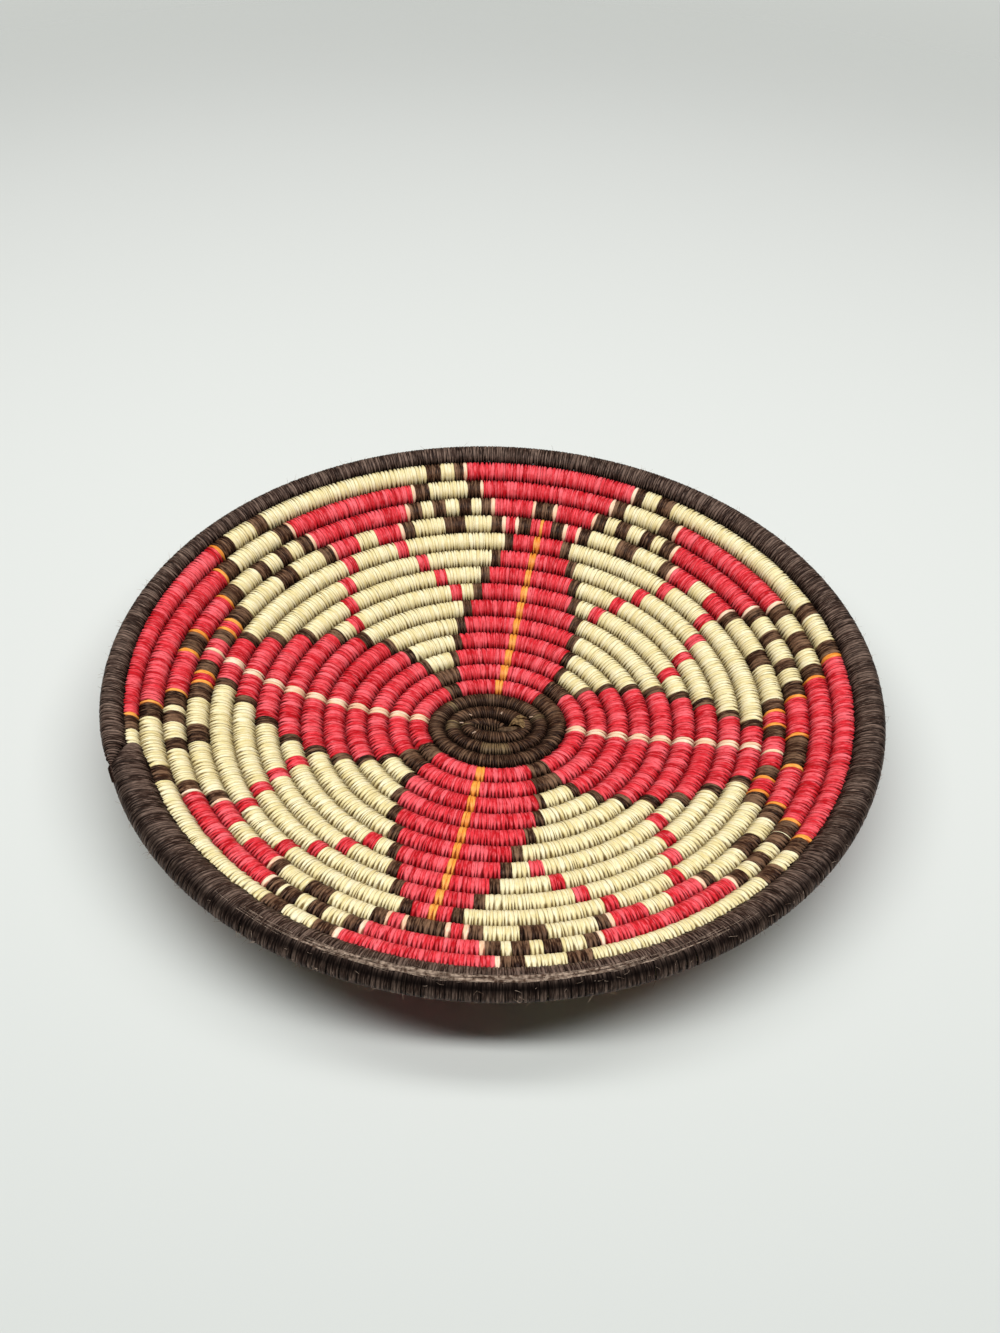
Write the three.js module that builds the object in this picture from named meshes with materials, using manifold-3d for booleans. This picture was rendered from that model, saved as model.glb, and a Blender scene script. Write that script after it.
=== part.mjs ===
// Coiled tray basket: one spiral bundle, wrapped turn by turn, with a thick rim.
// Millimetres, +Z up, standing on z = 0. The coil runs counter-clockwise seen from above.
// A turn count says where on the coil a point is: turn 0 is at +X, where the patterned rows begin.
import * as THREE from 'three';
import { mergeVertices } from 'three/addons/utils/BufferGeometryUtils.js';
import Module from 'manifold-3d';

// Coil, measured along the wall from the middle
const rowPitch = 9.5;
const centrePitch = 6.9;
const firstRowReach = 17.6;
const innerThinning = 3.65;
const thinningTurns = 2;
const startTurn = -2.86;
const patternedRows = 14;

// Oval: longer along X than along Y, and most of all in the middle
const ovalStretch = 4.95;
const middleStretch = 1.9;
const middleStretchReach = 40;

// Wall: its slope grows evenly from the middle, and faster near the rim
const slopeReach = 147;
const evenSlope = THREE.MathUtils.degToRad(20.4);
const steepeningSlope = THREE.MathUtils.degToRad(7.85);

// Rim: the last turn, proud of the wall, thick at its start and thinning out to a tail.
// The last patterned row narrows where it is tucked under the rim.
const rimStartTurn = 13 + 17.6 / 32;
const rimGrowTurns = 0.75 / 32;
const rimSwell = 5.5;
const rimRise = 0.8;
const rimFlatness = 0.8;
const rimDip = 3;
const rimDipTurns = 4 / 32;
const tuckTurns = 4.6 / 32;
const tuckDepth = 3;
const rimBundleEndTurn = rimStartTurn + 30 / 32;
const rimTailTurn = rimStartTurn + 1 + 0.68 / 32;

// Thicknesses and clearances
const wrapThickness = 1.0;
const wrapClearance = 0.3;
const rowGap = 0.4;
const endGap = 0.4;
const startCapTurns = 0.04;
const startGapTurns = 0.01;
const footCut = 0.5;

// Facets: the steps of a turn double where the coil is wide
const innerSteps = 16;
const outerSteps = 2 * innerSteps;
const outerFromTurn = 5;
const wrapSides = 8;
const bundleSides = 5;
const wallIntervals = 32;

const colours = { grass: 0xb89a5e, brown: 0x3b2a22, red: 0xd52a3f, cream: 0xe9dfae };

// Reach of the coil's inner edge along the wall, for an endless even coil
function evenEdge(turn) {
  if (turn < 0) {
    return firstRowReach + centrePitch * turn;
  }
  return firstRowReach + rowPitch * turn - innerThinning * (1 - Math.exp(-turn / thinningTurns));
}

const rimReach = evenEdge(rimStartTurn + 1) + rimSwell;

// How far the coil has grown into the rim, from 0 to 1
function rimGrowth(turn) {
  return THREE.MathUtils.clamp((turn - rimStartTurn) / rimGrowTurns, 0, 1);
}

// Reach of the coil's outer edge: the rim grows out to the basket's own outline, which dips at its start
function outerEdge(turn) {
  const tucked = THREE.MathUtils.clamp(1 - (rimStartTurn - turn) / tuckTurns, 0, 1);
  const dipped = THREE.MathUtils.clamp(1 - (turn - rimStartTurn) / rimDipTurns, 0, 1);
  const rowEdge = evenEdge(turn + 1) - tuckDepth * tucked;
  return THREE.MathUtils.lerp(rowEdge, rimReach - rimDip * dipped, rimGrowth(turn));
}

function innerEdge(turn) {
  return outerEdge(turn - 1);
}

function wallSlope(reach) {
  const part = reach / slopeReach;
  return evenSlope * part + steepeningSlope * part ** 3;
}

// Radius and height of the wall's middle surface at a reach, by the midpoint rule
function wallPoint(reach) {
  const interval = reach / wallIntervals;
  let radius = 0;
  let height = 0;
  for (let i = 0; i < wallIntervals; i += 1) {
    const slope = wallSlope((i + 0.5) * interval);
    radius += Math.cos(slope) * interval;
    height += Math.sin(slope) * interval;
  }
  return { radius, height };
}

// Half the thickness of the wrapped coil, clear of its neighbours
function halfThickness(turn) {
  return (outerEdge(turn) - innerEdge(turn) - rowGap) / 2;
}

const footLift = halfThickness(startTurn) - footCut;

// Ring of points round the coil at one turn count, with its corners at a distance from the coil's middle
function sectionRing(turn, corner, sides) {
  const angle = 2 * Math.PI * turn;
  const reach = (innerEdge(turn) + outerEdge(turn)) / 2;
  const wall = wallPoint(reach);
  const slope = wallSlope(reach);
  const flatness = THREE.MathUtils.lerp(1, rimFlatness, rimGrowth(turn));
  const rise = rimRise * rimGrowth(turn);
  const ring = [];
  for (let i = 0; i < sides; i += 1) {
    const around = (2 * Math.PI * (i + 0.5)) / sides;
    const along = corner * Math.cos(around);
    const above = flatness * corner * Math.sin(around) + rise;
    const stretch = ovalStretch + middleStretch * Math.exp(-(reach + along) / middleStretchReach);
    const outward = along * Math.cos(slope) - above * Math.sin(slope);
    const upward = along * Math.sin(slope) + above * Math.cos(slope);
    ring.push(new THREE.Vector3(
      (wall.radius + stretch + outward) * Math.cos(angle),
      (wall.radius + outward) * Math.sin(angle),
      wall.height + upward + footLift,
    ));
  }
  return ring;
}

function stepsIn(turn) {
  return turn < outerFromTurn ? innerSteps : outerSteps;
}

// Turn counts of the rings of one stretch: its ends and the even steps between them
function stretchTurns(from, to) {
  const nearest = 0.2 / outerSteps;
  const turns = [from];
  for (let whole = Math.floor(from); whole < to; whole += 1) {
    const steps = stepsIn(whole);
    for (let step = 0; step < steps; step += 1) {
      const turn = whole + step / steps;
      if (turn > from + nearest && turn < to - nearest) {
        turns.push(turn);
      }
    }
  }
  turns.push(to);
  return turns;
}

// Closed tube along a stretch of the coil
function coilTube(from, to, cornerAt, sides) {
  const rings = stretchTurns(from, to).map((turn) => sectionRing(turn, cornerAt(turn), sides));
  const positions = rings.flat().flatMap((point) => point.toArray());
  const indices = [];
  for (let r = 0; r + 1 < rings.length; r += 1) {
    for (let i = 0; i < sides; i += 1) {
      const here = r * sides + i;
      const beside = r * sides + ((i + 1) % sides);
      indices.push(here, here + sides, beside);
      indices.push(beside, here + sides, beside + sides);
    }
  }
  const last = (rings.length - 1) * sides;
  for (let i = 1; i + 1 < sides; i += 1) {
    indices.push(0, i, i + 1);
    indices.push(last, last + i + 1, last + i);
  }
  const geometry = new THREE.BufferGeometry();
  geometry.setAttribute('position', new THREE.Float32BufferAttribute(positions, 3));
  geometry.setIndex(indices);
  return geometry;
}

const wasm = await Module();
wasm.setup();

function toSolid(geometry) {
  const plain = new THREE.BufferGeometry();
  plain.setAttribute('position', geometry.getAttribute('position'));
  plain.setIndex(geometry.getIndex());
  const merged = mergeVertices(plain);
  return new wasm.Manifold(new wasm.Mesh({
    numProp: 3,
    vertProperties: new Float32Array(merged.getAttribute('position').array),
    triVerts: new Uint32Array(merged.getIndex().array),
  }));
}

function toGeometry(solid) {
  const mesh = solid.getMesh();
  const geometry = new THREE.BufferGeometry();
  geometry.setAttribute('position', new THREE.BufferAttribute(new Float32Array(mesh.vertProperties), 3));
  geometry.setIndex(new THREE.BufferAttribute(new Uint32Array(mesh.triVerts), 1));
  geometry.computeVertexNormals();
  return geometry;
}

// Everything below the surface that the basket stands on
const ground = new THREE.BoxGeometry(4 * rimReach, 4 * rimReach, rowPitch);
ground.translate(0, 0, -rowPitch / 2);
const groundSolid = toSolid(ground);

// Corners of the wrap, which turns a flat side to each neighbour, of its bore and of the bundle in it
const wrapCorner = (turn) => halfThickness(turn) / Math.cos(Math.PI / wrapSides);
const boreCorner = (turn) => halfThickness(turn) - wrapThickness;
const bundleCorner = (turn) => boreCorner(turn) - wrapClearance;

const basket = new THREE.Group();
basket.name = 'coiled_tray_basket';

function addPiece(name, solid, colour) {
  const material = new THREE.MeshStandardMaterial({ color: colour, roughness: 0.7, metalness: 0 });
  const mesh = new THREE.Mesh(toGeometry(solid), material);
  mesh.name = name;
  basket.add(mesh);
}

// Wrap of one stretch: a sleeve round the bundle, flat where the basket stands
function addWrap(name, from, to, bore, colour) {
  const outside = toSolid(coilTube(from, to, wrapCorner, wrapSides));
  const inside = toSolid(coilTube(bore.from, bore.to, boreCorner, bundleSides));
  addPiece(name, outside.subtract(inside).subtract(groundSolid), colour);
}

// Half of the gap between two wraps that follow each other, in turns
function halfEndGap(turn) {
  const around = 2 * Math.PI * wallPoint(innerEdge(turn)).radius;
  return endGap / 2 / around;
}

// A bore that runs through a wrap starts and ends one step beyond it
function addThroughWrap(name, from, to, colour) {
  const bore = { from: from - 1 / stepsIn(from - 1), to: to + 1 / stepsIn(to) };
  addWrap(name, from + halfEndGap(from), to - halfEndGap(to), bore, colour);
}

// Grass bundle, one unbroken tube, closed in by the wraps at both ends
const boreStartTurn = startTurn + startCapTurns;
const bundleStartTurn = boreStartTurn + startGapTurns;
const boreEndTurn = rimBundleEndTurn + 2 * halfEndGap(rimStartTurn);
const bundle = coilTube(bundleStartTurn, rimBundleEndTurn, bundleCorner, bundleSides);
addPiece('foundation_coil', toSolid(bundle), colours.grass);

// Dark middle: the folded start and two turns round it
const stripBore = { from: boreStartTurn, to: -2 + 1 / innerSteps };
addWrap('wrap_start_strip', startTurn, -2 - halfEndGap(-1), stripBore, colours.brown);
addThroughWrap('wrap_centre_ring_1', -2, -1, colours.brown);
addThroughWrap('wrap_centre_ring_2', -1, 0, colours.brown);

// Patterned rows, each in the colour that covers most of it
const redRows = [1, 2, 3, 4, 12, 13];
for (let row = 1; row <= patternedRows; row += 1) {
  const name = `wrap_row_${String(row).padStart(2, '0')}`;
  const colour = redRows.includes(row) ? colours.red : colours.cream;
  addThroughWrap(name, row - 1, Math.min(row, rimStartTurn), colour);
}

// Rim wrap, closed over the bundle's end at its tail
const rimBore = { from: rimStartTurn - 1 / outerSteps, to: boreEndTurn };
addWrap('rim_wrap', rimStartTurn + halfEndGap(rimStartTurn), rimTailTurn, rimBore, colours.brown);

// Least gap of the bundle to its own neighbouring turns, on the points of its tube
function leastSelfGap(from, to) {
  const rings = stretchTurns(from, to).map((turn) => ({
    turn,
    points: sectionRing(turn, bundleCorner(turn), bundleSides),
  }));
  let least = Infinity;
  for (const ring of rings) {
    for (const other of rings.filter((later) => later.turn > ring.turn + 0.5)) {
      for (const point of ring.points) {
        least = Math.min(least, ...other.points.map((facing) => facing.distanceTo(point)));
      }
    }
  }
  return least;
}

const selfGap = leastSelfGap(bundleStartTurn, rimBundleEndTurn);
console.log(`foundation_coil least gap to itself: ${selfGap.toFixed(2)} mm`);

export default basket;
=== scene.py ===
"""Looks of a coiled tray basket: every wrapped strand is a band of its own round the coil."""

import math

import bpy
import numpy as np
from mathutils import Matrix, Vector


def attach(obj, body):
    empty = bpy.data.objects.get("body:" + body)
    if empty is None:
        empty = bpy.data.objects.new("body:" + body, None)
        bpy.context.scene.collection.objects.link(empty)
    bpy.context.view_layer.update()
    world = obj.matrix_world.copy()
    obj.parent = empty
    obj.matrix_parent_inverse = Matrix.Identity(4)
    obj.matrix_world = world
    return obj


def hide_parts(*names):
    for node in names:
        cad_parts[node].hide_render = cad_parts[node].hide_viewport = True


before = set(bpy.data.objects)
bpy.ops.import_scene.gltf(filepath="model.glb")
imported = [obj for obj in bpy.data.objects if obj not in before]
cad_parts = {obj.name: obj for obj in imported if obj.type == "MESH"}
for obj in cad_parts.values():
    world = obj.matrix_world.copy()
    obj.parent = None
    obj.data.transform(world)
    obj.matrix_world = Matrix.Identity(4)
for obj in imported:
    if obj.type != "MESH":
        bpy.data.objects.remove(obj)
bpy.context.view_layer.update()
chance = np.random.default_rng(11)

# Coil, in metres; a turn count says where on it a point is, and turn 0 is at +X
ROW_PITCH = 0.0095
CENTRE_PITCH = 0.0069
FIRST_ROW_REACH = 0.0176
INNER_THINNING = 0.00365
THINNING_TURNS = 2
OVAL_STRETCH = 0.00495
MIDDLE_STRETCH = 0.0019
MIDDLE_STRETCH_REACH = 0.04
START_TURN = -2.86
PATTERNED_ROWS = 14
SLOPE_REACH = 0.147
EVEN_SLOPE = math.radians(20.4)
STEEPENING_SLOPE = math.radians(7.85)
RIM_START_TURN = 13 + 17.6 / 32
RIM_GROW_TURNS = 0.4 / 32
RIM_SWELL = 0.0055
RIM_RISE = 0.0008
RIM_FLATNESS = 0.77
RIM_DIP = 0.0018
RIM_DIP_TURNS = 4 / 32
TAIL_DRAW = 0.75
TAIL_DRAW_TURNS = 0.05
TUCK_TURNS = 4.6 / 32
TUCK_DEPTH = 0.003
RIM_TAIL_TURN = RIM_START_TURN + 1 + 0.68 / 32
FOOT_LIFT = 0.00275

# Strands: their widths along the coil, and the section that they are wrapped round
STRAND_WIDTH = 0.0015
SHORTEST_STRETCH = STRAND_WIDTH / 4
MIDDLE_WIDTH = 0.7
RIM_WIDTH = 0.82
WIDTH_SPREAD = 0.3
NARROWEST, BROADEST = 0.45, 1.8
ROW_OVERLAP = 0.00012
ROW_SQUARENESS = 0.96
RIM_SQUARENESS = 0.84
RIM_TILT = math.radians(5)
RIM_FOOT = 0.0004
START_TAPER_TURNS = 0.12
TAIL_TAPER_TURNS = 0.012
END_SHARE = 0.1

# How each strand lies: its lift, lean, slant and fibres, and the grooves beside it
CREST_LIFT = 0.00007
RIM_LIFT = 0.00008
LIFT_SPREAD = 0.00004
LEAN_SPREAD = 0.00007
SLANT_SPREAD = 0.25
FIBRE_RELIEF = 0.00002
FIBRE_WAVES = (2, 3, 4)
GROOVE_DEPTH = 0.00015
GROOVE_FLANK = 0.5
ROUGH_GROOVE = 0.00025
ROUGH_NARROWING = 0.1

# Notches on the outer flank and feet on the inner one, in degrees round the section from straight out
NOTCH_DEPTH = 0.001
NOTCH_TOP = 68
NOTCH_LENGTH = 38
NOTCH_SPREAD = 12
NOTCH_NARROWING = 0.52
FOOT_TOP = 128
FOOT_LENGTH = 40
FOOT_NARROWING = 0.45
FOOT_SINK = 0.6
TOOTH_REACH = 0.0012

# Painted shade in the grooves and notch slits between strands, as shares of the full one
GAP_LEAST = 0.24
GAP_SPREAD = 0.66
NOTCH_GAP = 1.5
ROUGH_GAP = 0.5
GROOVE_FROM, GROOVE_ROOM = 0.72, 0.28

# Painted shade in the creases between rows, in degrees round the section; on the rim it is darkest on the
# outer face at the front and fades towards the back
OUTER_CREASE = 2
OUTER_CREASE_SPREAD = 31
RIM_CREASE_SHIFT = 20
INNER_CREASE = 174
INNER_CREASE_SPREAD = 39
MIDDLE_CREASE = 24
FRONT_TURN = 13.75
FRONT_SPREAD = 84
FRONT_CREASE = 12
FRONT_NARROWING = 19
BACK_FADE = 0.8
# Painted shade on the flanks of the coil's folded start that face its hollow
HOLLOW_TURN = -2.05
HOLLOW_FADE = 0.25
HOLLOW_CREASE = 195
HOLLOW_SPREAD = 62

RED, CREAM, BROWN, ORANGE, TAN, RIM, PEACH = range(7)


def even_edge(turn):
    """Reach of the coil's inner edge along the wall, for an endless even coil."""
    thinned = INNER_THINNING * (1 - np.exp(-turn / THINNING_TURNS))
    patterned = FIRST_ROW_REACH + ROW_PITCH * turn - thinned
    return np.where(turn < 0, FIRST_ROW_REACH + CENTRE_PITCH * turn, patterned)


RIM_REACH = float(even_edge(RIM_START_TURN + 1)) + RIM_SWELL


def rim_growth(turn):
    """How far the coil has grown into the rim, from 0 to 1."""
    return np.clip((turn - RIM_START_TURN) / RIM_GROW_TURNS, 0, 1)


def outer_edge(turn):
    """Reach of the coil's outer edge: the last row is tucked in, and the rim grows out to the outline."""
    tucked = np.clip(1 - (RIM_START_TURN - turn) / TUCK_TURNS, 0, 1)
    dipped = np.clip(1 - (turn - RIM_START_TURN) / RIM_DIP_TURNS, 0, 1)
    drawn = np.clip(1 - (RIM_TAIL_TURN - turn) / TAIL_DRAW_TURNS, 0, 1)
    dip = RIM_DIP * np.maximum(dipped, TAIL_DRAW * drawn**2)
    edge = even_edge(turn + 1) - TUCK_DEPTH * tucked
    return edge + (RIM_REACH - dip - edge) * rim_growth(turn)


def inner_edge(turn):
    return outer_edge(turn - 1)


# Wall's middle surface, by its slope summed up along the reach
LONGEST_REACH = 0.18
REACH_STEPS = 1801
REACHES = np.linspace(0, LONGEST_REACH, REACH_STEPS)
MIDDLES = (REACHES[1:] + REACHES[:-1]) / 2


def wall_slope(reach):
    part = reach / SLOPE_REACH
    return EVEN_SLOPE * part + STEEPENING_SLOPE * part**3


RADII = np.concatenate([[0], np.cumsum(np.cos(wall_slope(MIDDLES)) * np.diff(REACHES))])
HEIGHTS = np.concatenate([[0], np.cumsum(np.sin(wall_slope(MIDDLES)) * np.diff(REACHES))])


def coil_points(turn, along, above):
    """Points by turn count, distance along the wall from the coil's middle, and distance above it."""
    reach = (inner_edge(turn) + outer_edge(turn)) / 2
    grown = rim_growth(turn)
    slope = wall_slope(reach) - RIM_TILT * grown
    angle = 2 * np.pi * turn
    above = above * (1 + (RIM_FLATNESS - 1) * grown) + RIM_RISE * grown
    outward = np.interp(reach, REACHES, RADII) + along * np.cos(slope) - above * np.sin(slope)
    upward = np.interp(reach, REACHES, HEIGHTS) + along * np.sin(slope) + above * np.cos(slope)
    stretch = OVAL_STRETCH + MIDDLE_STRETCH * np.exp(-(reach + along) / MIDDLE_STRETCH_REACH)
    x = (outward + stretch) * np.cos(angle)
    y = outward * np.sin(angle)
    return np.stack(np.broadcast_arrays(x, y, np.maximum(upward + FOOT_LIFT, 0)), -1)


# Pattern, in degrees round the basket from +X: red petals, their outlines and veins, and their tips.
# A tip's row is read from its middle outwards, and its last bands are always red and brown.
PETALS = (
    {
        "centre": 80.3, "drift": 4, "vein": ORANGE, "vein_shift": 1.3, "stitch": PEACH,
        "halves": (36, 32, 29.5, 25.5, 22, 18.5, 14.5, 12, 9, 6),
        "tip": ((2.3, 5.1, 8.2, 11.5), (1.9, 10.7, 13.7), (13.1, 16.4), (16.2, 18.7)),
    },
    {
        "centre": 170.3, "drift": 0.5, "vein": PEACH, "vein_shift": 5.2, "stitch": ORANGE,
        "halves": (39, 40, 38.8, 36.3, 32.5, 27.5, 22.3, 16.3, 10.5, 6.5),
        "tip": ((3.2, 6.3, 9, 14), (2.3, 13, 17.5), (17.4, 21.4), (20.9, 24.5)),
    },
    {
        "centre": 260.1, "drift": 1.3, "vein": ORANGE, "vein_shift": 1.1, "stitch": PEACH,
        "halves": (35.5, 33, 30.5, 26.5, 21.3, 16.3, 13, 10.3, 7.3, 3.8),
        "tip": ((3.2, 6.2, 9.4), (8.9, 12.2), (11.3, 15.4)),
    },
    {
        "centre": 346.5, "drift": 4.9, "vein": PEACH, "vein_shift": 4.6, "stitch": ORANGE,
        "halves": (41.5, 39.8, 36.8, 32, 27, 22, 17.5, 11.8, 7.8),
        "tip": ((4.2, 7.2, 11.2, 15.2), (3.8, 14, 18.5), (17.5, 21.2), (21, 24.9)),
    },
)
DRIFT_ROWS = 1.2
VEIN_END_ROW = 9.5
VEIN_HALF = {PEACH: 0.0016, ORANGE: 0.0014}
OUTLINE_WIDTH = 0.0039
OUTLINE_START = 0.67
OUTLINE_GROWTH = 0.13
STITCH_WIDTH = 0.0017
BROWN_ROWS = 2

# Cream fields between the petals: red zigzags, then arcs, which are broader where the coil has a row more
FIELD_CENTRES = (38.4, 121, 221.2, 299.7)
FIELD_WIDTHS = (1, 0.965, 1, 1)
ZIGZAG_ROW = 6
ZIGZAG_HALVES = (17.8, 14.4, 10.8, 6.9)
ZIGZAG_BLOCK = 0.005
ARC_ROW = 10
BACK_ARCS = (
    (CREAM, 2.4, RED, 8.3, BROWN, 11.7),
    (RED, 11.1, BROWN, 14.6),
    (RED, 13.4, BROWN, 17.3),
    (CREAM, 17.3, BROWN, 20.2),
)
FRONT_ARCS = (
    (CREAM, 2.4, RED, 8.4, BROWN, 11.4),
    (RED, 11.6, BROWN, 14.6),
    (CREAM, 14.6, BROWN, 18.2),
)
BACK_HALF = 180

# Brown checkers: one block above two, between each tip and field
CHECKER_CENTRES = (14, 59.6, 100.2, 142.5, 194, 240.5, 277.7, 321)
CHECKER_SPREADS = (4.1, 3, 2.8, 3, 3.4, 2.5, 2.5, 2.7)
CHECKER_HALF = 2.3
PAIR_HALF = 1.4
RIM_COLOUR_TURN = 13 + 198 / 360

# Faded strands in the dark middle, as turn counts from and to
FADED_STRETCHES = ((-2.53, -2.49), (-1.53, -1.46), (-1.29, -1.19), (-0.95, -0.925), (-0.62, -0.6))


def row_and_offset(turn, centre):
    row = round(turn - centre / 360)
    return row, 360 * (turn - row) - centre


def banded(distance, bands, stitch, stitch_colour):
    """Colour of a row that is read outwards in bands; a stitch sets off the outside of red from brown."""
    inside = None
    for colour, edge in zip(bands[::2], bands[1::2]):
        if inside is not None and {inside[0], colour} == {RED, BROWN} and distance < inside[1] + stitch:
            return stitch_colour
        if distance < edge:
            return colour
        inside = (colour, edge)
    return None


def petal_colour(petal, turn, degrees_per_metre):
    row, offset = row_and_offset(turn, petal["centre"])
    if row < 0:
        return None
    vein_fade = 1 - min(row / VEIN_END_ROW, 1) ** 3
    vein_half = VEIN_HALF[petal["vein"]] * degrees_per_metre
    last = len(petal["halves"])
    if row < last:
        offset -= petal["drift"] * math.exp(-row / DRIFT_ROWS)
        half = petal["halves"][row]
        if abs(offset) > half:
            width = OUTLINE_WIDTH * min(OUTLINE_START + (row - BROWN_ROWS) * OUTLINE_GROWTH, 1)
            outlined = turn >= BROWN_ROWS and abs(offset) < half + width * degrees_per_metre
            return BROWN if outlined else None
        if abs(offset - petal["vein_shift"] * vein_fade) < vein_half:
            return petal["vein"]
        return RED
    if row - last >= len(petal["tip"]):
        return None
    edges = petal["tip"][row - last]
    if len(edges) == 4 and abs(offset) < edges[0]:
        return petal["vein"] if abs(offset) < vein_half / 2 else RED
    if len(edges) == 4 and abs(offset) < edges[1]:
        return BROWN
    colours = (BROWN, RED, BROWN)[-len(edges[-3:]):]
    bands = [value for pair in zip(colours, edges[-3:]) for value in pair]
    return banded(abs(offset), bands, STITCH_WIDTH * degrees_per_metre, petal["stitch"])


def field_colour(centre, width, turn, degrees_per_metre):
    row, offset = row_and_offset(turn, centre)
    if ZIGZAG_ROW <= row < ARC_ROW:
        block = ZIGZAG_BLOCK * degrees_per_metre / 2
        return RED if abs(abs(offset) - ZIGZAG_HALVES[row - ZIGZAG_ROW]) < block else None
    arcs = BACK_ARCS if centre < BACK_HALF else FRONT_ARCS
    if ARC_ROW <= row < ARC_ROW + len(arcs):
        return banded(abs(offset) / width, arcs[row - ARC_ROW], STITCH_WIDTH * degrees_per_metre, PEACH)
    return None


def checker_colour(centre, spread, turn):
    row, offset = row_and_offset(turn, centre)
    first = centre == CHECKER_CENTRES[0]
    if row == ARC_ROW or (row == ARC_ROW + 2 and first):
        return BROWN if abs(offset) < CHECKER_HALF else None
    if row == ARC_ROW + 1:
        return BROWN if abs(abs(offset) - spread) < PAIR_HALF else None
    return None


def strand_colour(turn):
    """Colour of the strand at a turn count."""
    if turn < 0:
        return TAN if any(first < turn < last for first, last in FADED_STRETCHES) else BROWN
    if turn > RIM_COLOUR_TURN:
        return RIM
    reach = float(inner_edge(np.array(turn)) + outer_edge(np.array(turn))) / 2
    degrees_per_metre = math.degrees(1 / float(np.interp(reach, REACHES, RADII)))
    found = [petal_colour(petal, turn, degrees_per_metre) for petal in PETALS]
    found += [field_colour(c, w, turn, degrees_per_metre) for c, w in zip(FIELD_CENTRES, FIELD_WIDTHS)]
    found += [checker_colour(c, s, turn) for c, s in zip(CHECKER_CENTRES, CHECKER_SPREADS)]
    for colour in found:
        if colour is not None:
            return colour
    return BROWN if turn < BROWN_ROWS else CREAM


# Strand ends along the coil: each stretch of one colour is shared out among strands of uneven widths
LINE_STEPS = 36001
LINE_TURNS = np.linspace(START_TURN, RIM_TAIL_TURN, LINE_STEPS)
LINE = coil_points(LINE_TURNS, 0.0, 0.0)
LENGTHS = np.concatenate([[0], np.cumsum(np.linalg.norm(np.diff(LINE, axis=0), axis=1))])
LINE_COLOURS = np.array([strand_colour(turn) for turn in LINE_TURNS])
WIDTH_SHARES = {TAN: MIDDLE_WIDTH, RIM: RIM_WIDTH}


def share_out():
    """Ends of all strands, as lengths along the coil, and their colours."""
    changes = np.flatnonzero(np.diff(LINE_COLOURS)) + 1
    edges = np.concatenate([[0], changes, [len(LINE_TURNS) - 1]])
    ends, colours = [0.0], []
    for first, last in zip(edges[:-1], edges[1:]):
        length = LENGTHS[last] - ends[-1]
        if length < SHORTEST_STRETCH and last != edges[-1]:
            continue
        kind = LINE_COLOURS[first] if LINE_TURNS[first] >= 0 else TAN
        width = STRAND_WIDTH * WIDTH_SHARES.get(kind, 1)
        count = max(1, round(length / width))
        widths = np.clip(chance.normal(1, WIDTH_SPREAD, count), NARROWEST, BROADEST)
        ends.extend(ends[-1] + np.cumsum(widths) * length / widths.sum())
        colours.extend([LINE_COLOURS[first]] * count)
    return np.array(ends), np.array(colours)


strand_ends, strand_colours = share_out()
strand_ends = np.interp(strand_ends, LENGTHS, LINE_TURNS)
strand_turns = (strand_ends[1:] + strand_ends[:-1]) / 2
strand_spans = np.diff(strand_ends)
strand_count = len(strand_turns)
strand_tints = chance.random(strand_count)
strand_gaps = chance.random(strand_count)
strand_lifts = CREST_LIFT + chance.normal(0, LIFT_SPREAD, strand_count)
strand_leans = chance.normal(0, LEAN_SPREAD, strand_count)
strand_slants = chance.normal(0, SLANT_SPREAD, strand_count)
strand_phases = chance.random((strand_count, len(FIBRE_WAVES))) * 2 * np.pi

# Points round a strand, as degrees from straight out along the wall, closer together at the creases
AROUND = np.radians([
    -90, -60, -36, -16, 0, 11, 21, 31, 41, 53, 67, 82, 97, 112, 125, 136, 147, 158, 169, 180, 198, 220, 244,
])
ACROSS = np.array([-0.64, -0.5, -0.38, -0.2, 0, 0.2, 0.38, 0.5, 0.64])


def bump(angle, centre, spread):
    away = np.degrees(angle) - centre
    return np.exp(-((away / spread) ** 2))


def end_taper(turn):
    """Share of the full section, which is drawn in at the coil's start and at the rim's tail."""
    from_start = np.clip((turn - START_TURN) / START_TAPER_TURNS, 0, 1)
    from_tail = np.clip((RIM_TAIL_TURN - turn) / TAIL_TAPER_TURNS, 0, 1)
    return np.sqrt(np.minimum(from_start, from_tail)) * (1 - END_SHARE) + END_SHARE


def section(turn, around, height):
    """Distances along and above the wall of points round the coil, some height off its plain surface."""
    half = (outer_edge(turn) - inner_edge(turn)) / 2
    taper = end_taper(turn)
    free = rim_growth(turn)
    squareness = ROW_SQUARENESS + (RIM_SQUARENESS - ROW_SQUARENESS) * free * (np.cos(around) > 0)
    side = np.sign(np.cos(around)) * np.abs(np.cos(around)) ** squareness
    top = np.sign(np.sin(around)) * np.abs(np.sin(around)) ** squareness
    swell = ROW_OVERLAP * np.where(np.cos(around) > 0, 1 - free, 1)
    swell = swell + RIM_FOOT * free * (np.cos(around) < 0)
    along = taper * (half + swell + height) * side - free * (1 - taper) * half
    return along, taper * (half + height) * top


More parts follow.
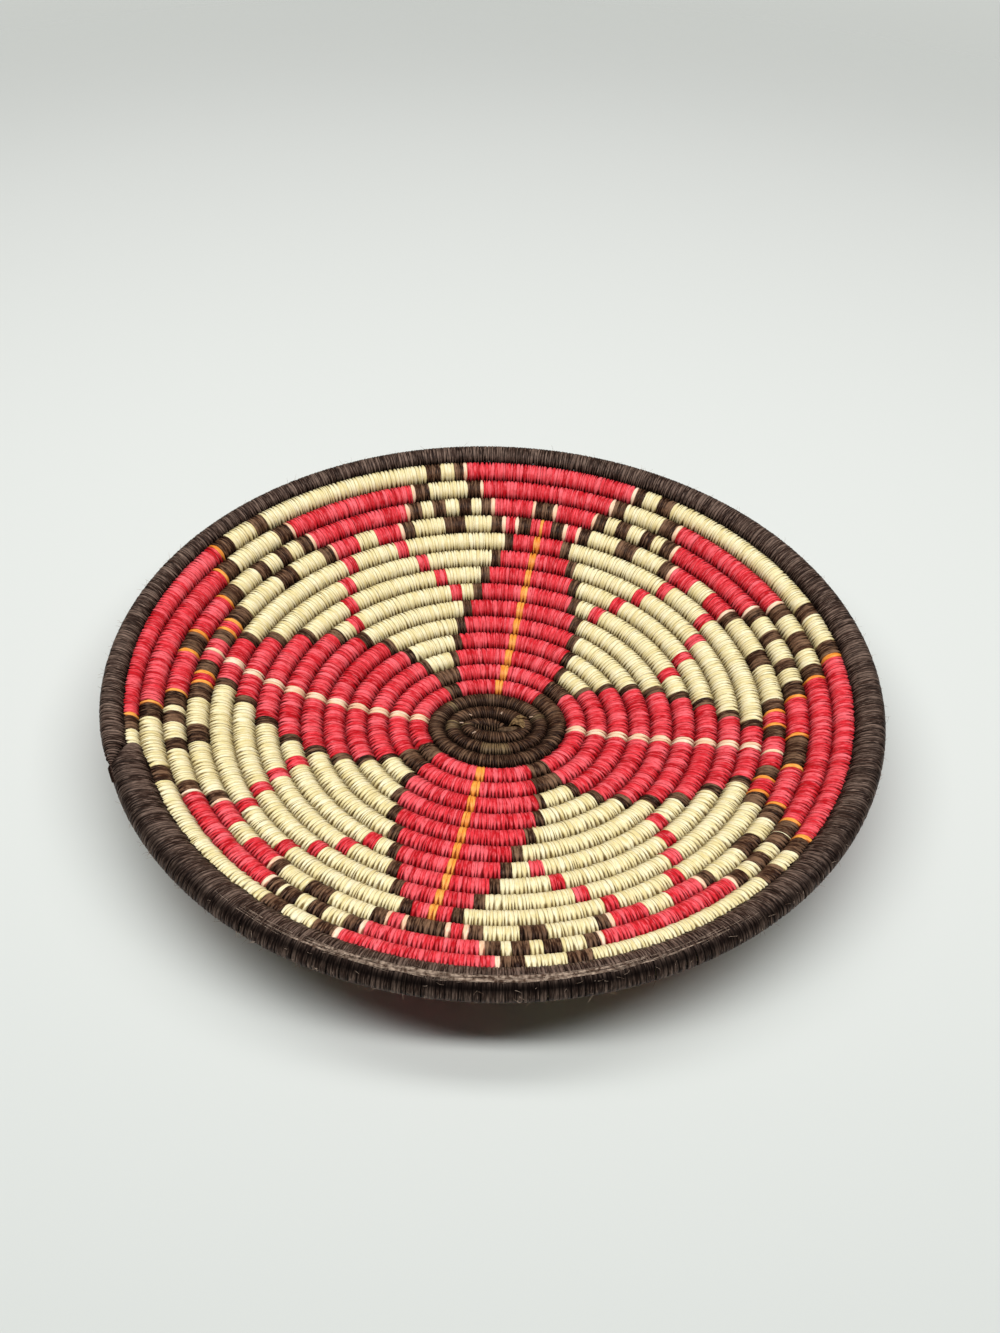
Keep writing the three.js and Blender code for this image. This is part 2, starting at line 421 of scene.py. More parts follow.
def strand_bands(chosen):
    """Points (strand, around, across) of the chosen strands, and the facts behind their looks."""
    turn = strand_turns[chosen][:, None, None]
    span = strand_spans[chosen][:, None, None]
    lift = strand_lifts[chosen][:, None, None]
    around = AROUND[None, :, None]
    across = ACROSS[None, None, :]
    free = rim_growth(turn)
    rough = np.maximum(free, turn < 0)
    degrees = np.degrees(around)
    uneven = NOTCH_SPREAD * np.cos(strand_phases[chosen, 0])[:, None, None]
    slot = (1 - free) * np.clip((NOTCH_TOP + uneven - degrees) / NOTCH_LENGTH, 0, 1)
    foot = np.clip((degrees - FOOT_TOP + uneven) / FOOT_LENGTH, 0, 1)

    # A strand is broad on the crest and drawn in to a point at both of its feet
    crown = 1 - NOTCH_NARROWING * slot - FOOT_NARROWING * foot - ROUGH_NARROWING * rough * (1 - foot)
    part = np.abs(across) / (0.5 * crown)
    shallow = GROOVE_DEPTH + ROUGH_GROOVE * rough
    depth = shallow + (NOTCH_DEPTH - shallow) * np.clip(slot + FOOT_SINK * foot, 0, 1)
    sunk = np.clip((part - 1) / GROOVE_FLANK, 0, 1)
    dome = np.clip(1 - part**2, 0, 1)
    phases = strand_phases[chosen].T[:, :, None, None]
    fibres = sum(np.cos(2 * np.pi * wave * across + phase) for wave, phase in zip(FIBRE_WAVES, phases))
    lean = strand_leans[chosen][:, None, None] * across * (1 - np.clip(slot + foot, 0, 1))
    lift = lift + RIM_LIFT * free
    height = lift * dome + FIBRE_RELIEF * fibres * dome + lean - depth * sunk
    along, above = section(turn, around, height)
    along = along - TOOTH_REACH * foot * np.clip(1 - part, 0, 1)
    slant = strand_slants[chosen][:, None, None] * (around / np.pi - 0.5)
    points = coil_points(turn + (across + slant) * span, along, above)

    # Painted shade: grooves between strands and creases between rows are darkened towards the shade colour
    gap_shade = GAP_LEAST + GAP_SPREAD * strand_gaps[chosen][:, None, None]
    gap_shade = np.clip(gap_shade + NOTCH_GAP * slot + foot + ROUGH_GAP * rough, 0, 1)
    groove_shade = gap_shade * np.clip((part - GROOVE_FROM) / GROOVE_ROOM, 0, 1)
    broader = MIDDLE_CREASE * (turn < 0)
    # Painted shade on the rim's outer face: broadest and darkest at the front, which faces away from the
    # lamps, and fading towards the back
    front = bump(2 * np.pi * (turn - FRONT_TURN), 0, FRONT_SPREAD)
    middle = OUTER_CREASE + RIM_CREASE_SHIFT * free
    spread = OUTER_CREASE_SPREAD + broader + FRONT_CREASE * free * front
    spread = spread - FRONT_NARROWING * free * front * (degrees < middle)
    outer = bump(around, middle, spread) * (1 - BACK_FADE * free * (1 - front))
    inner = bump(around, INNER_CREASE, INNER_CREASE_SPREAD + broader)
    in_hollow = np.clip((HOLLOW_TURN - turn) / HOLLOW_FADE, 0, 1)
    crease_shade = np.clip(outer + inner + in_hollow * bump(around, HOLLOW_CREASE, HOLLOW_SPREAD), 0, 1)
    length = (outer_edge(turn) - inner_edge(turn)) / 2 * around
    return [points] + [np.broadcast_to(fact, points.shape[:3]) for fact in (groove_shade, crease_shade, length)]


def mesh_object(name, points, faces):
    """Object from arrays of points and of faces that all have the same number of corners."""
    corners = faces.shape[1]
    mesh = bpy.data.meshes.new(name)
    mesh.vertices.add(len(points))
    mesh.vertices.foreach_set("co", points.astype(np.float32).ravel())
    mesh.loops.add(faces.size)
    mesh.loops.foreach_set("vertex_index", faces.astype(np.int32).ravel())
    mesh.polygons.add(len(faces))
    mesh.polygons.foreach_set("loop_start", np.arange(0, faces.size, corners, dtype=np.int32))
    mesh.polygons.foreach_set("use_smooth", np.full(len(faces), True))
    mesh.update(calc_edges=True)
    made = bpy.data.objects.new(name, mesh)
    bpy.context.scene.collection.objects.link(made)
    return made


def add_fact(made, name, values):
    attribute = made.data.attributes.new(name, "FLOAT", "POINT")
    attribute.data.foreach_set("value", np.ascontiguousarray(values, np.float32).ravel())


def band_faces(strands, around, across):
    index = np.arange(strands * around * across).reshape(strands, around, across)
    following = np.roll(index, -1, axis=1)
    corners = (index[:, :, :-1], following[:, :, :-1], following[:, :, 1:], index[:, :, 1:])
    return np.stack(corners, -1).reshape(-1, 4)


# Sockets of a colour mix
MIX_FACTOR, MIX_FIRST, MIX_SECOND, MIX_RESULT = 0, 6, 7, 2


class Nodes:
    """Small helper that adds and links the nodes of one material."""

    def __init__(self, name):
        self.material = bpy.data.materials.new(name)
        self.material.use_nodes = True
        self.tree = self.material.node_tree
        self.shader = self.tree.nodes["Principled BSDF"]

    def add(self, kind, inputs=None, **settings):
        node = self.tree.nodes.new(kind)
        for key, value in settings.items():
            setattr(node, key, value)
        for key, value in (inputs or {}).items():
            self.give(node.inputs[key], value)
        return node

    def give(self, socket, value):
        if isinstance(value, bpy.types.NodeSocket):
            self.tree.links.new(value, socket)
        else:
            socket.default_value = value

    def math(self, operation, *values):
        node = self.add("ShaderNodeMath", operation=operation)
        for socket, value in zip(node.inputs, values):
            self.give(socket, value)
        return node.outputs[0]

    def mix(self, factor, first, second):
        node = self.add("ShaderNodeMix", data_type="RGBA")
        self.give(node.inputs[MIX_FACTOR], factor)
        self.give(node.inputs[MIX_FIRST], first)
        self.give(node.inputs[MIX_SECOND], second)
        return node.outputs[MIX_RESULT]

    def ramp(self, value, span, limits=(0.0, 1.0), kind="LINEAR"):
        """Value that goes from one limit to the other where the given one goes through the span."""
        node = self.add("ShaderNodeMapRange", {
            "Value": value,
            "From Min": span[0],
            "From Max": span[1],
            "To Min": limits[0],
            "To Max": limits[1],
        }, interpolation_type=kind)
        return node.outputs[0]

    def spots(self, scale, detail):
        """Noise in space."""
        place = self.add("ShaderNodeTexCoord").outputs["Object"]
        node = self.add("ShaderNodeTexNoise", {"Vector": place, "Scale": scale, "Detail": detail})
        return node.outputs[0]

    def fact(self, name):
        return self.add("ShaderNodeAttribute", attribute_name=name).outputs["Fac"]


# Looks of a strand: how fine its fibres are, where each colour sets in and is full, and how strong it gets,
# the painted shade in grooves and creases included
ACROSS_SCALE = 3.4
AROUND_SCALE = 260.0
TINT_SCALE = 97.0
BLOTCH_SCALE = 600.0
PALE_TINTS = (0.5, 1.0)
DARK_TINTS = (0.45, 0.0)
PALE_FIBRES = (0.5, 0.68)
DARK_FIBRES = (0.48, 0.32)
FIBRE_STRENGTH = 0.9
BLOTCHES = (0.45, 0.75)
BLOTCH_STRENGTH = 0.35
GROOVE_STRENGTH = 0.9
CREASE_STRENGTH = 0.97
ROUGH_FIBRES = (0.3, 0.7)
SMOOTHER, ROUGHER = 0.1, 0.12
BUMP_STRENGTH = 0.5
BUMP_HEIGHT = 0.0001


def raffia(name, base, light, dark, shade_colour, contrast, roughness, gloss):
    """Dyed strand: a tint of its own, fine fibres along it, and painted shade in grooves and creases, mixed
    towards a darker shade colour.
    """
    nodes = Nodes(name)
    tint = nodes.fact("tint")
    place = nodes.add("ShaderNodeCombineXYZ", {
        "X": nodes.math("MULTIPLY", nodes.fact("across"), ACROSS_SCALE),
        "Y": nodes.math("MULTIPLY", nodes.fact("around"), AROUND_SCALE),
        "Z": nodes.math("MULTIPLY", tint, TINT_SCALE),
    })
    fibres = nodes.add("ShaderNodeTexNoise", {
        "Vector": place.outputs[0], "Scale": 1.0, "Detail": 3.0, "Roughness": 0.6,
    }).outputs[0]
    blotches = nodes.spots(BLOTCH_SCALE, 2.0)
    colour = nodes.mix(nodes.ramp(tint, PALE_TINTS, (0.0, contrast)), (*base, 1), (*light, 1))
    colour = nodes.mix(nodes.ramp(tint, DARK_TINTS, (0.0, contrast)), colour, (*dark, 1))
    colour = nodes.mix(nodes.ramp(fibres, PALE_FIBRES, (0.0, FIBRE_STRENGTH)), colour, (*light, 1))
    colour = nodes.mix(nodes.ramp(fibres, DARK_FIBRES, (0.0, FIBRE_STRENGTH)), colour, (*dark, 1))
    colour = nodes.mix(nodes.ramp(blotches, BLOTCHES, (0.0, BLOTCH_STRENGTH)), colour, (*dark, 1))
    # Painted shade: the grooves and creases are mixed towards the shade colour
    groove_shade = nodes.math("MULTIPLY", nodes.fact("groove_shade"), GROOVE_STRENGTH)
    colour = nodes.mix(groove_shade, colour, (*shade_colour, 1))
    crease_shade = nodes.math("MULTIPLY", nodes.fact("crease_shade"), CREASE_STRENGTH)
    colour = nodes.mix(crease_shade, colour, (*shade_colour, 1))
    nodes.give(nodes.shader.inputs["Base Color"], colour)
    rough = nodes.ramp(fibres, ROUGH_FIBRES, (roughness - SMOOTHER, roughness + ROUGHER))
    dull = nodes.math("MAXIMUM", groove_shade, crease_shade)
    nodes.give(nodes.shader.inputs["Roughness"], nodes.math("MAXIMUM", rough, dull))
    nodes.shader.inputs["Specular IOR Level"].default_value = gloss
    relief = nodes.add("ShaderNodeBump", {
        "Height": fibres, "Strength": BUMP_STRENGTH, "Distance": BUMP_HEIGHT,
    })
    nodes.give(nodes.shader.inputs["Normal"], relief.outputs[0])
    return nodes.material


# In the order of the colour numbers: plain, light and dark colour, the colour of the painted shade in
# grooves and creases, then contrast, roughness and gloss
STRAND_MATERIALS = [
    raffia("red_raffia", (0.78, 0.036, 0.05), (0.96, 0.16, 0.185), (0.45, 0.003, 0.008),
           (0.13, 0.0003, 0.0008), 0.95, 0.45, 0.1),
    raffia("cream_raffia", (0.88, 0.77, 0.43), (0.95, 0.89, 0.64), (0.71, 0.58, 0.25),
           (0.15, 0.085, 0.016), 0.6, 0.5, 0.25),
    raffia("brown_raffia", (0.052, 0.019, 0.008), (0.25, 0.14, 0.08), (0.012, 0.003, 0.001),
           (0.003, 0.0006, 0.0003), 0.95, 0.44, 0.08),
    raffia("orange_raffia", (0.9, 0.34, 0.04), (0.95, 0.5, 0.12), (0.7, 0.18, 0.012),
           (0.26, 0.04, 0.002), 0.6, 0.46, 0.3),
    raffia("faded_raffia", (0.2, 0.12, 0.05), (0.36, 0.25, 0.12), (0.07, 0.035, 0.012),
           (0.006, 0.002, 0.001), 0.8, 0.5, 0.2),
    raffia("rim_raffia", (0.052, 0.027, 0.019), (0.29, 0.2, 0.155), (0.007, 0.0024, 0.001),
           (0.0012, 0.0003, 0.0002), 0.55, 0.4, 0.06),
    raffia("peach_raffia", (0.9, 0.65, 0.42), (0.95, 0.81, 0.62), (0.78, 0.45, 0.26),
           (0.25, 0.05, 0.025), 0.6, 0.5, 0.2),
]


def add_strand_piece(name, node, chosen):
    """One piece: the strands of one turn of the coil, or of a part of it."""
    points, groove_shade, crease_shade, around = strand_bands(chosen)
    made = mesh_object(name, points.reshape(-1, 3), band_faces(*points.shape[:3]))
    add_fact(made, "groove_shade", groove_shade)
    add_fact(made, "crease_shade", crease_shade)
    add_fact(made, "around", around)
    add_fact(made, "across", np.broadcast_to(ACROSS, points.shape[:3]))
    add_fact(made, "tint", np.repeat(strand_tints[chosen], points.shape[1] * points.shape[2]))
    for material in STRAND_MATERIALS:
        made.data.materials.append(material)
    per_strand = len(AROUND) * (len(ACROSS) - 1)
    colours = np.repeat(strand_colours[chosen], per_strand).astype(np.int32)
    made.data.polygons.foreach_set("material_index", colours)
    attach(made, "root")
    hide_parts(node)


# A turn with more strands than this is split into equal pieces
MOST_STRANDS = 540


def add_strands(name, node, chosen):
    """All strands of one turn of the coil."""
    parts = np.array_split(chosen, math.ceil(len(chosen) / MOST_STRANDS))
    for number, part in enumerate(parts, 1):
        add_strand_piece(name if len(parts) == 1 else f"{name}_{number}", node, part)


def between(first, last):
    return np.flatnonzero((strand_turns >= first) & (strand_turns < last))


add_strands("start_strip_strands", "wrap_start_strip", between(START_TURN, -2))
add_strands("centre_ring_1_strands", "wrap_centre_ring_1", between(-2, -1))
add_strands("centre_ring_2_strands", "wrap_centre_ring_2", between(-1, 0))
for row in range(1, PATTERNED_ROWS + 1):
    chosen = between(row - 1, min(row, RIM_START_TURN))
    add_strands(f"row_{row:02d}_strands", f"wrap_row_{row:02d}", chosen)
add_strands("rim_strands", "rim_wrap", between(RIM_START_TURN, RIM_TAIL_TURN + 1))


# Loose fibres: long pale ones along the rim's top corner, gathered at the front as partly frayed fibres and
# partly painted highlight, and short ones that stand off it
FIBRE_STEPS = 6
FIBRE_SIDES = 5
FIBRE_TIP = 0.4
FIBRE_TWIST = 6
FIBRE_START_GAP, FIBRE_END_GAP = 0.03, 0.05
LYING_FIBRES = 300
LYING_TURNS = 0.036
LYING_CORNERS = (71, 57)
LYING_SPREAD = 2.6
LYING_LENGTHS = (0.003, 0.012)
LYING_RISES = (0.0, 0.00025)
LYING_RADIUS = 0.00008
STRAY_FIBRES = 260
STRAY_TURNS = 0.4
STRAY_CORNERS = (-50, 30)
STRAY_LENGTHS = (0.001, 0.004)
STRAY_RISES = (0.0008, 0.0026)
STRAY_SWAY = 0.3
STRAY_RADIUS = 0.00006
FULL_SWAY = 1.0
FIBRE_SPOTS = 700.0
FIBRE_SPOT_EDGES = (0.35, 0.65)


def fibre_mesh(name, paths, thickness):
    """Thin tubes along paths (fibre, step, xyz), which grow thinner to their ends."""
    ahead = np.gradient(paths, axis=1)
    ahead /= np.linalg.norm(ahead, axis=2, keepdims=True)
    beside = np.cross(ahead, (0, 0, 1))
    beside /= np.linalg.norm(beside, axis=2, keepdims=True)
    over = np.cross(beside, ahead)
    turns = np.linspace(0, 2 * np.pi, FIBRE_SIDES, endpoint=False)[None, None, :, None]
    radius = thickness * np.linspace(1, FIBRE_TIP, paths.shape[1])[None, :, None, None]
    ring = radius * (np.cos(turns) * beside[:, :, None] + np.sin(turns) * over[:, :, None])
    points = paths[:, :, None] + ring
    index = np.arange(points.shape[0] * points.shape[1] * FIBRE_SIDES).reshape(points.shape[:3])
    following = np.roll(index, -1, axis=2)
    corners = (index[:, :-1], following[:, :-1], following[:, 1:], index[:, 1:])
    return mesh_object(name, points.reshape(-1, 3), np.stack(corners, -1).reshape(-1, 4))


def fibre_material(name, dark, light):
    nodes = Nodes(name)
    mixed = nodes.ramp(nodes.spots(FIBRE_SPOTS, 2.0), FIBRE_SPOT_EDGES)
    nodes.give(nodes.shader.inputs["Base Color"], nodes.mix(mixed, (*dark, 1), (*light, 1)))
    nodes.shader.inputs["Roughness"].default_value = 0.6
    nodes.shader.inputs["Specular IOR Level"].default_value = 0.1
    return nodes.material


LOOSE_FIBRE_AND_HIGHLIGHT = fibre_material("loose_fibre_and_highlight", (0.09, 0.05, 0.032), (0.5, 0.38, 0.29))
KNOB_LOOP = fibre_material("knob_loop", (0.05, 0.026, 0.011), (0.3, 0.19, 0.085))
STITCH_END = fibre_material("stitch_end", (0.3, 0.19, 0.12), (0.62, 0.47, 0.36))
HOLLOW_THREAD = fibre_material("hollow_thread", (0.022, 0.01, 0.005), (0.12, 0.07, 0.036))
# Near-black material of the sheet along the seams: painted shade
SHADE_FILLING = fibre_material("shade_filling", (0.006, 0.002, 0.001), (0.014, 0.006, 0.003))


def add_tubes(name, paths, thickness, material):
    made = fibre_mesh(name, paths, thickness)
    made.data.materials.append(material)
    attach(made, "root")


def add_fibres(name, count, spread, corner, length, rise, sway, thickness):
    """Fibres that start on the rim: with full sway they lie along it, with less their ends rise off it."""
    first = RIM_START_TURN + FIBRE_START_GAP
    room = RIM_TAIL_TURN - first - FIBRE_END_GAP
    start = first + np.mod(chance.normal(FRONT_TURN - first, spread, count), room)[:, None]
    step = np.linspace(0, 1, FIBRE_STEPS)[None, :]
    run = chance.uniform(*length, count)[:, None] / LENGTHS[-1] * (RIM_TAIL_TURN - START_TURN) * sway
    turn = start + run * step * chance.choice((-1, 1), count)[:, None]
    twist = np.radians(chance.normal(0, FIBRE_TWIST, count))
    around = np.radians(corner)[:, None] + twist[:, None] * step**2
    off = chance.uniform(*rise, count)[:, None]
    height = CREST_LIFT + off * np.where(sway < FULL_SWAY, step, np.sin(np.pi * step))
    along, above = section(turn, around, height)
    add_tubes(name, coil_points(turn, along, above), thickness, LOOSE_FIBRE_AND_HIGHLIGHT)


# Lying fibres gather at the front corner in two lines: partly frayed fibres, partly a painted highlight of
# the lamps
lying_corner = chance.choice(LYING_CORNERS, LYING_FIBRES) + chance.normal(0, LYING_SPREAD, LYING_FIBRES)
add_fibres("rim_lying_fibres_and_highlight", LYING_FIBRES, LYING_TURNS, lying_corner, LYING_LENGTHS, LYING_RISES,
           FULL_SWAY, LYING_RADIUS)
stray_corner = chance.uniform(*STRAY_CORNERS, STRAY_FIBRES)
add_fibres("rim_stray_fibres", STRAY_FIBRES, STRAY_TURNS, stray_corner, STRAY_LENGTHS, STRAY_RISES,
           STRAY_SWAY, STRAY_RADIUS)


# Folded start of the coil: a fan of loops over its end, a dark filling that stands in for the shade in the
# hollow between its ribs (painted shade), threads across that hollow, and pale ends of stitches
START_STEPS = np.linspace(0, 1, 9)[None, :]
KNOB_LOOPS = 9
KNOB_FOOT = (0.0068, 0.0017)
KNOB_TOP = 0.0069
KNOB_BEND = 0.009
KNOB_CREST = 0.38
KNOB_REACH = 0.0076
KNOB_REACH_SHARES = (0.9, 1.05)
KNOB_UNEVENNESS = 0.0002
KNOB_ANGLES = (-24, 40)
KNOB_RADIUS = 0.00042
FILLING_FROM, FILLING_TO = 0.0135, -0.003
FILLING_SIDE = -0.0004
FILLING_MIDDLE = 0.003
FILLING_SINK = 0.0018
FILLING_RADIUS = 0.0029
HOLLOW_THREADS = 10
THREAD_ROOM = (-0.0082, 0.0022)
THREAD_FROM, THREAD_TO = 0.0012, -0.0042
THREAD_TOP = 0.0057
THREAD_SAG = 0.0008
THREAD_UNEVENNESS = 0.0003
THREAD_RADIUS = 0.0003
STITCH_PLACES = (
    (-0.0132, 0.0005),
    (-0.0096, 0.0052),
    (-0.0078, -0.0049),
    (0.0037, 0.007),
    (0.0163, 0.0052),
)
STITCH_LENGTH = 0.0016
STITCH_STEPS = 5
STITCH_TOP = 0.0063
STITCH_CURVE = 150
STITCH_RADIUS = 0.00045


def add_paths(name, x, y, z, thickness, material):
    add_tubes(name, np.stack(np.broadcast_arrays(x, y, z), -1), thickness, material)


def add_knob_loops():
    angle = np.radians(np.linspace(*KNOB_ANGLES, KNOB_LOOPS))[:, None]
    reach = KNOB_REACH * (1 - START_STEPS) * chance.uniform(*KNOB_REACH_SHARES, (KNOB_LOOPS, 1))
    uneven = chance.normal(0, KNOB_UNEVENNESS, (KNOB_LOOPS, 1))
    height = KNOB_TOP - KNOB_BEND * (START_STEPS - KNOB_CREST) ** 2 + uneven
    x = KNOB_FOOT[0] + reach * np.cos(angle)
    y = KNOB_FOOT[1] + reach * np.sin(angle)
    add_paths("knob_loops", x, y, height, KNOB_RADIUS, KNOB_LOOP)


def add_hollow_shade_filling():
    along = FILLING_FROM + (FILLING_TO - FILLING_FROM) * START_STEPS
    height = FILLING_MIDDLE - FILLING_SINK * START_STEPS**4
    add_paths("shade_filling", along, FILLING_SIDE, height, FILLING_RADIUS, HOLLOW_THREAD)


def add_hollow_threads():
    shift = chance.normal(0, THREAD_UNEVENNESS, (HOLLOW_THREADS, 1))
    side = THREAD_FROM + (THREAD_TO - THREAD_FROM) * START_STEPS + shift
    along = np.linspace(*THREAD_ROOM, HOLLOW_THREADS)[:, None] + shift * START_STEPS
    height = THREAD_TOP - THREAD_SAG * np.sin(np.pi * START_STEPS)
    add_paths("hollow_threads", along, side, height, THREAD_RADIUS, HOLLOW_THREAD)


def add_stitch_ends():
    along = np.linspace(-0.5, 0.5, STITCH_STEPS)[None, :] * STITCH_LENGTH
    places = np.array(STITCH_PLACES)
    outward = places / np.linalg.norm(places, axis=1, keepdims=True)
    x = places[:, :1] + outward[:, :1] * along
    y = places[:, 1:] + outward[:, 1:] * along
    add_paths("stitch_ends", x, y, STITCH_TOP - STITCH_CURVE * along**2, STITCH_RADIUS, STITCH_END)


add_knob_loops()
add_hollow_shade_filling()
add_hollow_threads()
add_stitch_ends()


# Seams: a near-black sheet of painted shade lies along where each row is sewn to the one inside it, so no
# light comes through between them
SEAM_STEPS = 4200
SEAM_TURNS = np.linspace(START_TURN, RIM_TAIL_TURN - 1, SEAM_STEPS)[:, None]
SEAM_HALF = 0.0011
SEAM_DROP = 0.0003


def add_seams():
    half = (outer_edge(SEAM_TURNS) - inner_edge(SEAM_TURNS)) / 2
    points = coil_points(SEAM_TURNS, half + SEAM_HALF * np.array([[-1, 1]]), -SEAM_DROP)
    index = np.arange(points.shape[0] * 2).reshape(-1, 2)
    faces = np.stack((index[:-1, 0], index[:-1, 1], index[1:, 1], index[1:, 0]), -1)
    made = mesh_object("seam_shade_sheet", points.reshape(-1, 3), faces)
    made.data.materials.append(SHADE_FILLING)
    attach(made, "root")


add_seams()


# Grass bundle inside the wraps: a tube of stems that twist slowly round each other
WRAP_ROOM = 0.0013
BUNDLE_CLEARANCE = 0.0002
STEMS = 7
STEM_POINTS = 4
STEM_RELIEF = 0.1
STEM_TWIST = 9
BUNDLE_STEPS = 1900
BUNDLE_END_TURN = RIM_START_TURN + 30 / 32
BUNDLE_TURNS = np.linspace(START_TURN, BUNDLE_END_TURN, BUNDLE_STEPS)
GRASS_SPOTS = 420.0
GRASS_DARK = (0.42, 0.29, 0.11)
GRASS_LIGHT = (0.7, 0.56, 0.3)


def grass_material():
    nodes = Nodes("dry_grass")
    colour = nodes.mix(nodes.spots(GRASS_SPOTS, 4.0), (*GRASS_DARK, 1), (*GRASS_LIGHT, 1))
    nodes.give(nodes.shader.inputs["Base Color"], colour)
    nodes.shader.inputs["Roughness"].default_value = 0.7
    return nodes.material


def add_bundle():
    turn = BUNDLE_TURNS[:, None]
    around = np.linspace(0, 2 * np.pi, STEM_POINTS * STEMS, endpoint=False)[None, :]
    half = (outer_edge(turn) - inner_edge(turn)) / 2 - WRAP_ROOM - BUNDLE_CLEARANCE
    ends = np.minimum(turn - BUNDLE_TURNS[0], BUNDLE_TURNS[-1] - turn)
    closed = np.sqrt(np.clip(ends / START_TAPER_TURNS, 0, 1))
    radius = closed * half * (1 + STEM_RELIEF * np.cos(STEMS * (around + STEM_TWIST * turn)))
    points = coil_points(turn, radius * np.cos(around), radius * np.sin(around))
    index = np.arange(points.shape[0] * points.shape[1]).reshape(points.shape[:2])
    following = np.roll(index, -1, axis=1)
    faces = np.stack((index[:-1], following[:-1], following[1:], index[1:]), -1).reshape(-1, 4)
    made = mesh_object("grass_bundle", points.reshape(-1, 3), faces)
    made.data.materials.append(grass_material())
    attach(made, "root")
    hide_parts("foundation_coil")


add_bundle()


# Stage: pale floor with painted shade and light, a little greyer in front and paler behind, that fades out
# into a pale room
FLOOR_SHADED_FRONT = (0.54, 0.563, 0.54)
FLOOR_LIT_BACK = (0.93, 0.95, 0.915)
FLOOR_DEPTH = (-0.4, 0.8)
FLOOR_FADE = (0.55, 1.0)
FLOOR_HALF = 1.5
ROOM_COLOUR = (0.6, 0.62, 0.59)


def add_floor():
    nodes = Nodes("pale_floor")
    place = nodes.add("ShaderNodeTexCoord").outputs["Object"]
    depth = nodes.add("ShaderNodeSeparateXYZ", {0: place}).outputs["Y"]
    colour = nodes.mix(nodes.ramp(depth, FLOOR_DEPTH), (*FLOOR_SHADED_FRONT, 1), (*FLOOR_LIT_BACK, 1))
    nodes.give(nodes.shader.inputs["Base Color"], colour)
    nodes.shader.inputs["Roughness"].default_value = 0.6
    nodes.shader.inputs["Specular IOR Level"].default_value = 0.15
    away = nodes.add("ShaderNodeVectorMath", {0: place}, operation="LENGTH").outputs["Value"]
    fade = nodes.ramp(away, FLOOR_FADE, kind="SMOOTHSTEP")
    clear = nodes.add("ShaderNodeBsdfTransparent").outputs[0]
    faded = nodes.add("ShaderNodeMixShader", {0: fade, 1: nodes.shader.outputs[0], 2: clear})
    nodes.give(nodes.tree.nodes["Material Output"].inputs["Surface"], faded.outputs[0])
    corners = FLOOR_HALF * np.array([(-1, -1, 0), (1, -1, 0), (1, 1, 0), (-1, 1, 0)], float)
    made = mesh_object("floor", corners, np.array([[0, 1, 2, 3]]))
    made.data.materials.append(nodes.material)


add_floor()


# Two softboxes above the basket, one before and one behind its middle
FRONT_LIGHT_PLACE = (0.0, -0.3, 1.11)
FRONT_LIGHT_SIZE = (1.8, 0.18)
FRONT_LIGHT_POWER = 15
BACK_LIGHT_PLACE = (0.0, 0.19, 1.14)
BACK_LIGHT_SIZE = (1.8, 0.25)
BACK_LIGHT_POWER = 7


def add_area_light(name, location, size, power):
    """Softbox that faces the basket; its size is its length along X and its width."""
    light = bpy.data.lights.new(name, "AREA")
    light.shape = "RECTANGLE"
    light.size, light.size_y = size
    light.energy = power
    made = bpy.data.objects.new(name, light)
    made.location = location
    made.rotation_euler = (-Vector(location)).to_track_quat("-Z", "Y").to_euler()
    bpy.context.scene.collection.objects.link(made)


add_area_light("front_light", FRONT_LIGHT_PLACE, FRONT_LIGHT_SIZE, FRONT_LIGHT_POWER)
add_area_light("back_light", BACK_LIGHT_PLACE, BACK_LIGHT_SIZE, BACK_LIGHT_POWER)

# Room: dim as a light, pale where it is seen directly, in a mirror or through the floor
ROOM_LIGHT = 0.055
ROOM_LIGHT_COLOUR = (0.9, 0.95, 0.93)


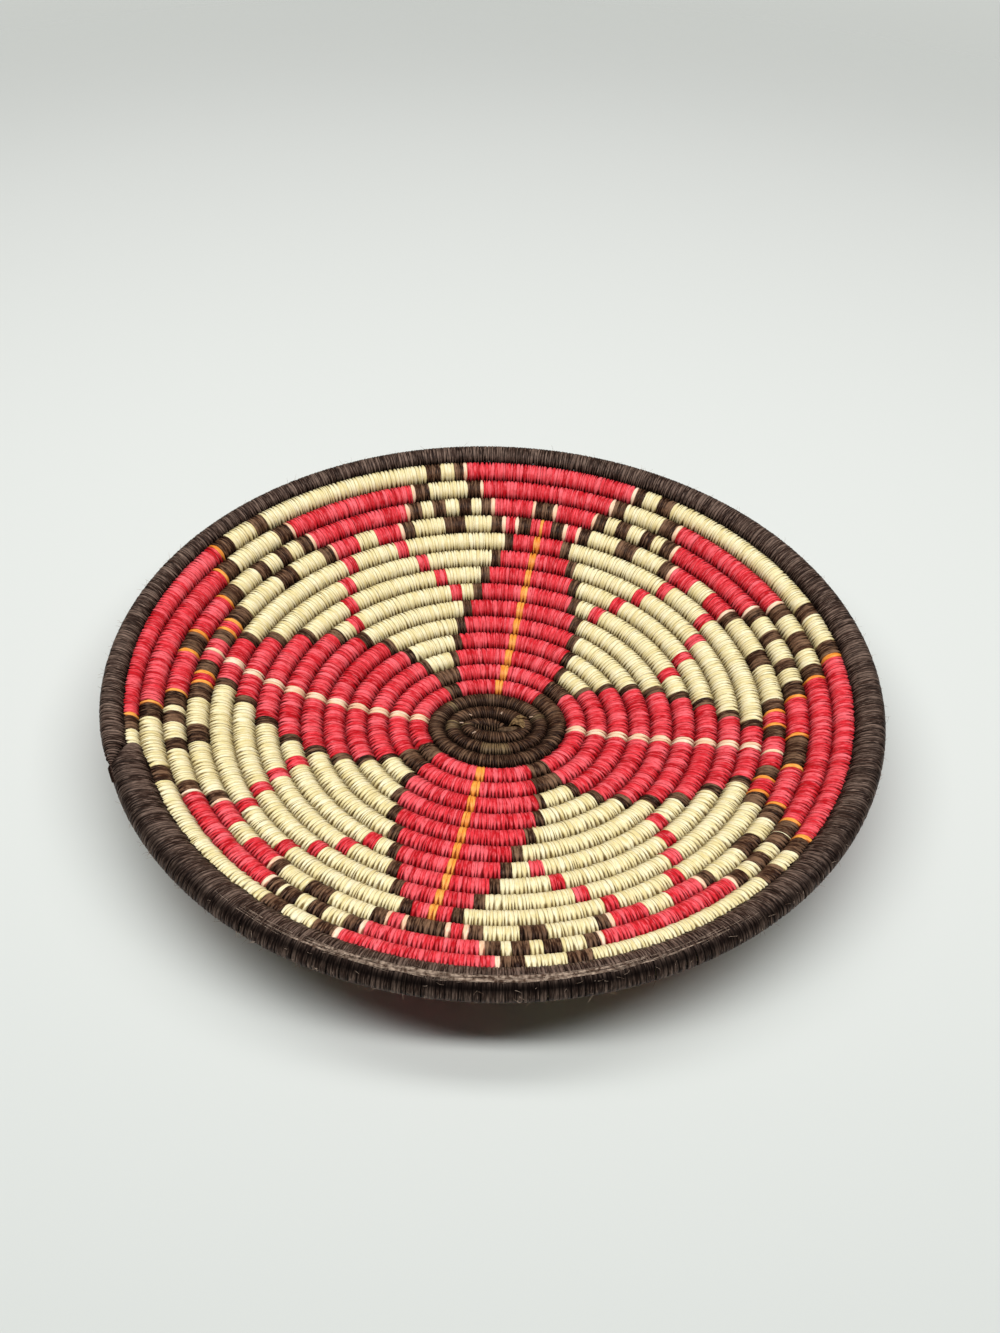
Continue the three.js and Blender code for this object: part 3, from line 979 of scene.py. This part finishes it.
def add_room():
    world = bpy.data.worlds.new("studio")
    bpy.context.scene.world = world
    world.use_nodes = True
    tree = world.node_tree
    dim = tree.nodes["Background"]
    dim.inputs["Color"].default_value = (*ROOM_LIGHT_COLOUR, 1)
    dim.inputs["Strength"].default_value = ROOM_LIGHT
    pale = tree.nodes.new("ShaderNodeBackground")
    pale.inputs["Color"].default_value = (*ROOM_COLOUR, 1)
    path = tree.nodes.new("ShaderNodeLightPath")
    seen = path.outputs["Is Camera Ray"]
    for kind in ("Is Glossy Ray", "Is Transmission Ray"):
        either = tree.nodes.new("ShaderNodeMath")
        either.operation = "MAXIMUM"
        tree.links.new(seen, either.inputs[0])
        tree.links.new(path.outputs[kind], either.inputs[1])
        seen = either.outputs[0]
    chosen = tree.nodes.new("ShaderNodeMixShader")
    tree.links.new(seen, chosen.inputs[0])
    tree.links.new(dim.outputs[0], chosen.inputs[1])
    tree.links.new(pale.outputs[0], chosen.inputs[2])
    tree.links.new(chosen.outputs[0], tree.nodes["World Output"].inputs["Surface"])


add_room()

# Camera at the photograph's viewing angle
IMAGE_HEIGHT = 1333
FOCAL_PIXELS = 1400
CAMERA_DISTANCE = 0.594
CAMERA_ELEVATION = math.radians(47.52)
CAMERA_ROLL = math.radians(1.97)
CENTRE_RIGHT, CENTRE_DOWN = -5.3, 64
SENSOR = 36

camera_data = bpy.data.cameras.new("camera")
camera_data.sensor_width = SENSOR
camera_data.lens = SENSOR * FOCAL_PIXELS / IMAGE_HEIGHT
camera = bpy.data.objects.new("camera", camera_data)
bpy.context.scene.collection.objects.link(camera)
pan = Matrix.Rotation(math.atan2(CENTRE_RIGHT, FOCAL_PIXELS), 4, "Y")
tilt = Matrix.Rotation(math.atan2(CENTRE_DOWN, FOCAL_PIXELS), 4, "X")
roll = Matrix.Rotation(CAMERA_ROLL, 4, "Z")
look = Matrix.Rotation(math.pi / 2 - CAMERA_ELEVATION, 4, "X")
away = Vector((0, -math.cos(CAMERA_ELEVATION), math.sin(CAMERA_ELEVATION))) * CAMERA_DISTANCE
camera.matrix_world = Matrix.Translation(away + Vector((0, 0, FOOT_LIFT))) @ look @ pan @ tilt @ roll
bpy.context.scene.camera = camera
bpy.context.scene.view_settings.view_transform = "Standard"
